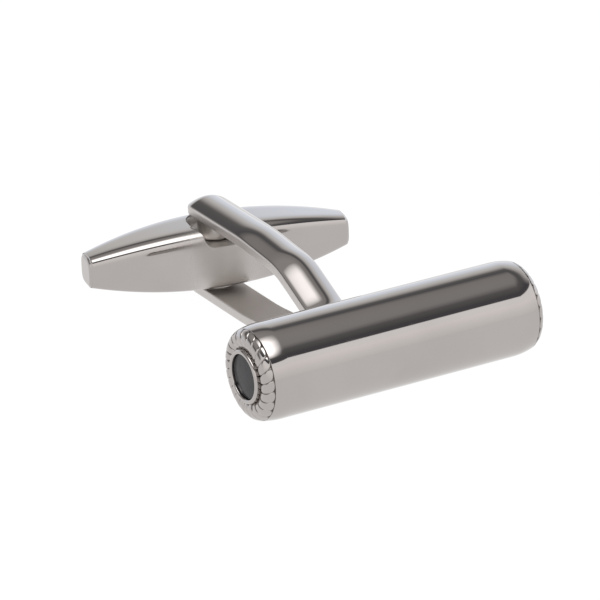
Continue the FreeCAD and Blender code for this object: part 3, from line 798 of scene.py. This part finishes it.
class CUFFLINK_OT_toggle(bpy.types.Operator):
    """Make the torpedo toggle"""
    bl_idname = "cufflink.toggle"
    bl_label = "Toggle"

    def skin(self, toggle):
        """Long surface, without its ends, and where it is satin and lighter. The
        section at x is a superellipse |y/h|**n + |z/h|**n = 1, whose half height h falls
        from the middle with a power of x. Over the pocket z is held under a cap
        that is low round the pivot and rises steeply at the pocket's wall, with
        a smooth minimum that rounds the lip. The cap goes by |x| in the front
        half, y < 0, where the pocket narrows toward its open mouth, and by the
        distance from the pivot in the half behind, where the pocket closes. The
        mark on the front round the pivot is painted light: its lighter colour
        covers the dark reflection of the arms."""
        wall_run, climb, floor_round = 0.16, 1.3, 0.7
        narrowing, narrow_from, narrow_run = 0.4, 0.5, 1.3
        mark_depth = 0.05
        # Front patch round the pivot, made satin and painted lighter over the arms' dark reflection.
        lightened_front_from, lightened_front_run, lightened_front_centre = 1.0, 0.7, -0.2
        fine = np.linspace(0, toggle.pocket + 0.9, 62)
        half_line = np.concatenate([fine[:-1], np.linspace(fine[-1], toggle.half, 52)])
        line = np.concatenate([-half_line[1:][::-1], half_line])
        share = np.clip(np.abs(line) / toggle.half, 0, 1)
        half = toggle.end + (toggle.middle - toggle.end) * (1 - share ** toggle.taper)
        angle = np.linspace(0, 2 * np.pi, 240, endpoint=False)[None, :]
        cosine, sine = np.cos(angle), np.sin(angle)
        power = (toggle.square - toggle.ease * share ** 2)[:, None]
        ray = (np.abs(cosine) ** power + np.abs(sine) ** power) ** (-1 / power)
        x = np.broadcast_to(line[:, None], (len(line), angle.shape[1]))
        y = half[:, None] * ray * cosine
        z = half[:, None] * ray * sine
        forward = np.clip((-y - narrow_from) / narrow_run, 0, 1) ** 1.5
        distance = np.hypot(x, np.clip(y, 0, None)) + narrowing * forward
        into = np.clip((distance - toggle.pocket + floor_round) / floor_round, 0, 1)
        bowl = floor_round * (1 - np.sqrt(np.clip(1 - into ** 2, 0, 1)))
        rise = np.clip((distance - toggle.pocket) / wall_run, 0, None)
        cap = toggle.floor + bowl + rise * climb
        size = np.abs(z)
        soft = toggle.lip * (1 + np.clip((toggle.pocket - distance) / 0.5, 0, 1))
        gap = np.clip(0.5 + (cap - size) / (2 * soft), 0, 1)
        capped = cap * (1 - gap) + size * gap - soft * gap * (1 - gap)
        capped = np.where(cap > size + soft, size, capped)
        satin = np.where(z > 0, np.clip((size - capped) / mark_depth, 0, 1), 0)
        # Painted light: the front patch's mark, which lightens the colour there.
        lightened_front = np.exp(-((x - lightened_front_centre) / toggle.lightened_front) ** 2)
        satin = np.maximum(satin, np.clip((-y - lightened_front_from) / lightened_front_run, 0, 1) * lightened_front)
        z = np.where(z > 0, np.minimum(capped, size), z)
        return np.stack([x, y, z], axis=-1), satin, cosine[0], sine[0]

    def execute(self, context):
        """The skin closed by two rounded end faces, the right one round the mouth
        of the catch's bore, then turned to the toggle's angle at rest."""
        toggle = settings("toggle")
        end, hole = toggle.half, 0.45
        mouth, middle_depth, well_depth = 0.03, 0.3, 0.6
        body, satin, cosine, sine = self.skin(toggle)
        left = end_rounding(body[0], -1, toggle)[::-1]
        right = end_rounding(body[-1], 1, toggle)
        body[0, :, 0] += toggle.chamfer
        body[-1, :, 0] -= toggle.chamfer
        round_hole = np.stack([np.full_like(cosine, end), hole * cosine, hole * sine], axis=-1)
        centre_left = np.broadcast_to(np.array([-end, 0, 0]), left[0].shape)
        inward = np.linspace(0, 1, 12)[:-1, None, None]
        face_left = centre_left + (left[0] - centre_left) * inward
        outward = np.linspace(0, 1, 10)[1:, None, None]
        face_right = right[-1] + (round_hole - right[-1]) * outward
        well = [round_hole - (depth, 0, 0) for depth in (mouth, middle_depth, well_depth)]
        bottom = [round_hole * (1, 0, 0) - (well_depth, 0, 0)]
        grid = np.concatenate([face_left, left, body, right, face_right, well, bottom])
        turn_cos, turn_sin = math.cos(REST_YAW), math.sin(REST_YAW)
        moved = np.stack([PIVOT[0] + grid[..., 0] * turn_cos - grid[..., 1] * turn_sin,
                          PIVOT[1] + grid[..., 0] * turn_sin + grid[..., 1] * turn_cos,
                          PIVOT[2] + grid[..., 2]], axis=-1)
        marks = np.zeros(moved.shape[:2])
        first = len(face_left) + len(left)
        marks[first:first + len(satin)] = satin
        place(surface("toggle_shell", moved, round_columns=True, marks={"inner": marks}),
              "toggle", "plated_toggle", "fork", "toggle_body")
        return {"FINISHED"}


class CUFFLINK_OT_catch(bpy.types.Operator):
    """Dress the pin, the plug and the spring catch"""
    bl_idname = "cufflink.catch"
    bl_label = "Pin and catch"

    def execute(self, context):
        steel = bpy.data.materials[MATERIAL_NAMES["steel"]]
        for node in ("pivot_pin", "detent_ball", "detent_spring", "toggle_plug"):
            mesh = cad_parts[node].data
            mesh.materials.clear()
            mesh.materials.append(steel)
        return {"FINISHED"}


class CUFFLINK_OT_stage(bpy.types.Operator):
    """Make the pale floor, the soft light and the camera"""
    bl_idname = "cufflink.stage"
    bl_label = "Stage"

    def execute(self, context):
        """A level floor, the studio round it, and a camera that looks at the aim
        along its azimuth and elevation, tilted by its roll."""
        scene = context.scene
        stage = settings("stage")
        floor_half, sensor, nearest, furthest = 6000, 36.0, 0.01, 50.0
        floor_material()
        line = np.linspace(-floor_half, floor_half, 9)
        across, along = np.meshgrid(line, line, indexing="ij")
        sheet = surface("floor", np.stack([across, along, np.zeros_like(across)], axis=-1))
        sheet.data.materials.append(bpy.data.materials[MATERIAL_NAMES["floor"]])

        world = bpy.data.worlds.new("studio")
        world.use_nodes = True
        scene.world = world
        studio_light(Tree(world.node_tree), stage)

        turn, lift, roll = stage.azimuth, stage.elevation, stage.roll
        back = Vector((math.sin(turn) * math.cos(lift), -math.cos(turn) * math.cos(lift),
                       math.sin(lift)))
        right = Vector((math.cos(turn), math.sin(turn), 0))
        up = back.cross(right)
        right, up = (right * math.cos(roll) + up * math.sin(roll),
                     up * math.cos(roll) - right * math.sin(roll))
        camera = bpy.data.objects.new("camera", bpy.data.cameras.new("camera"))
        camera.data.lens = stage.lens
        camera.data.sensor_width = sensor
        camera.data.clip_start = nearest
        camera.data.clip_end = furthest
        place_at = (Vector(stage.aim) + back * stage.distance) * MM
        camera.matrix_world = Matrix.Translation(place_at) @ Matrix(
            (right, up, back)).transposed().to_4x4()
        scene.collection.objects.link(camera)
        scene.camera = camera
        scene.view_settings.view_transform = "Standard"
        return {"FINISHED"}


class CufflinkSettings(bpy.types.PropertyGroup):
    """All of the cufflink's settings."""
    bar: PointerProperty(name="Bar", description="Bar, rings, collars and inlays",
                         type=BarSettings)
    fork: PointerProperty(name="Fork", description="Both arms", type=ForkSettings)
    toggle: PointerProperty(name="Toggle", description="Torpedo toggle", type=ToggleSettings)
    finish: PointerProperty(name="Finish", description="Colours and gloss", type=FinishSettings)
    stage: PointerProperty(name="Stage", description="Floor, light and camera",
                           type=StageSettings)


STEPS = (CUFFLINK_OT_finishes, CUFFLINK_OT_bar, CUFFLINK_OT_rings, CUFFLINK_OT_collars,
         CUFFLINK_OT_stones, CUFFLINK_OT_fork, CUFFLINK_OT_toggle, CUFFLINK_OT_catch,
         CUFFLINK_OT_stage)


class CUFFLINK_PT_steps(bpy.types.Panel):
    """Lists the steps that make the cufflink, and its settings"""
    bl_idname = "CUFFLINK_PT_steps"
    bl_label = "Cufflink"
    bl_space_type = "VIEW_3D"
    bl_region_type = "UI"
    bl_category = "Cufflink"

    def draw(self, context):
        for step in STEPS:
            self.layout.operator(step.bl_idname)
        for part in own_settings(context.scene.cufflink):
            box = self.layout.box()
            box.label(text=part.name)
            group = getattr(context.scene.cufflink, part.identifier)
            for kind in own_settings(group):
                box.prop(group, kind.identifier)


CLASSES = (BarSettings, ForkSettings, ToggleSettings, FinishSettings, StageSettings,
           CufflinkSettings, *STEPS, CUFFLINK_PT_steps)


def register():
    """Make the settings, the steps and the panel known to Blender."""
    for kind in CLASSES:
        bpy.utils.register_class(kind)
    bpy.types.Scene.cufflink = PointerProperty(name="Cufflink", type=CufflinkSettings,
                                               description="Sizes, finishes and stage")


def unregister():
    """Take away what register() made."""
    del bpy.types.Scene.cufflink
    for kind in reversed(CLASSES):
        bpy.utils.unregister_class(kind)


def main():
    """Make every piece and the stage."""
    register()
    for step in STEPS:
        group, name = step.bl_idname.split(".")
        getattr(getattr(bpy.ops, group), name)()


if __name__ == "__main__":
    main()
